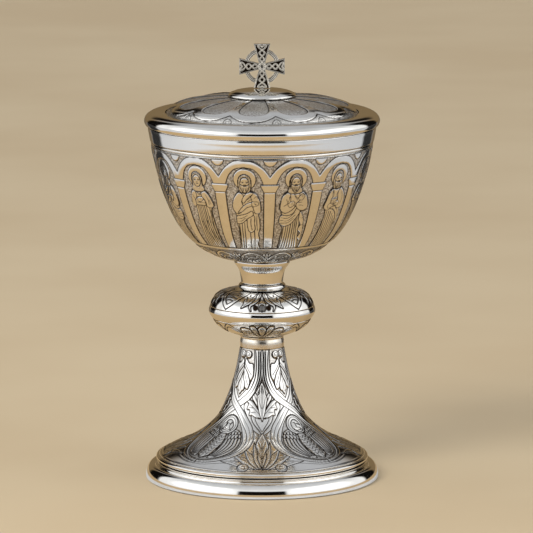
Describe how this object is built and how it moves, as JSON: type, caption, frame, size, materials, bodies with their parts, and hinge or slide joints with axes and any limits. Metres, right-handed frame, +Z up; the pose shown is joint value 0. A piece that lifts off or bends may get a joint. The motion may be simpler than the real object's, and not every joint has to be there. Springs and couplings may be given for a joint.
{
  "type": "covered communion chalice",
  "caption": "Covered silver communion cup on a flared foot with a knop stem, an arcade of saints round the bowl, and a lift-off lid with a ringed cross.",
  "frame": {"origin": "centre of the base, on the surface that the foot stands on", "axes": "+Z up the stem through the cross; the cross faces -Y and its arms lie along X"},
  "size_m": [0.13, 0.13, 0.2422],
  "materials": {
    "polished_silver": "polished silver plate",
    "chased_silver": "chased silver plate, darkened in the recesses",
    "cast_silver": "cast silver, darkened in the recesses",
    "gilt_lining": "polished silver outside, gilt inside",
    "brass_fitting": "turned brass",
    "steel_fitting": "turned steel"
  },
  "bodies": {
    "chalice": {"base_rim": "polished_silver", "step_ring": "polished_silver", "foot": "chased_silver", "neck_collar": "polished_silver", "knop_lower": "chased_silver", "knop_girdle": "polished_silver", "knop_upper": "chased_silver", "knop_sleeve": "brass_fitting", "stem_bead": "polished_silver", "stem_spool": "polished_silver", "bowl_shell": "chased_silver", "bowl_bead": "polished_silver", "cup_liner": "gilt_lining", "cup_boss": "brass_fitting", "tie_rod": "steel_fitting", "foot_washer": "steel_fitting", "lock_washer": "steel_fitting", "tie_nut": "steel_fitting"},
    "lid": {"lid_flange": "polished_silver", "lid_bezel": "polished_silver", "lid_dome": "chased_silver", "finial_disc": "polished_silver", "cross": "cast_silver", "finial_washer": "brass_fitting", "finial_nut": "brass_fitting"}
  },
  "joints": [
    {"name": "lid_lift", "type": "slide", "parent": "chalice", "child": "lid", "axis": [0, 0, 1], "range_m": [0, 0.1]}
  ]
}
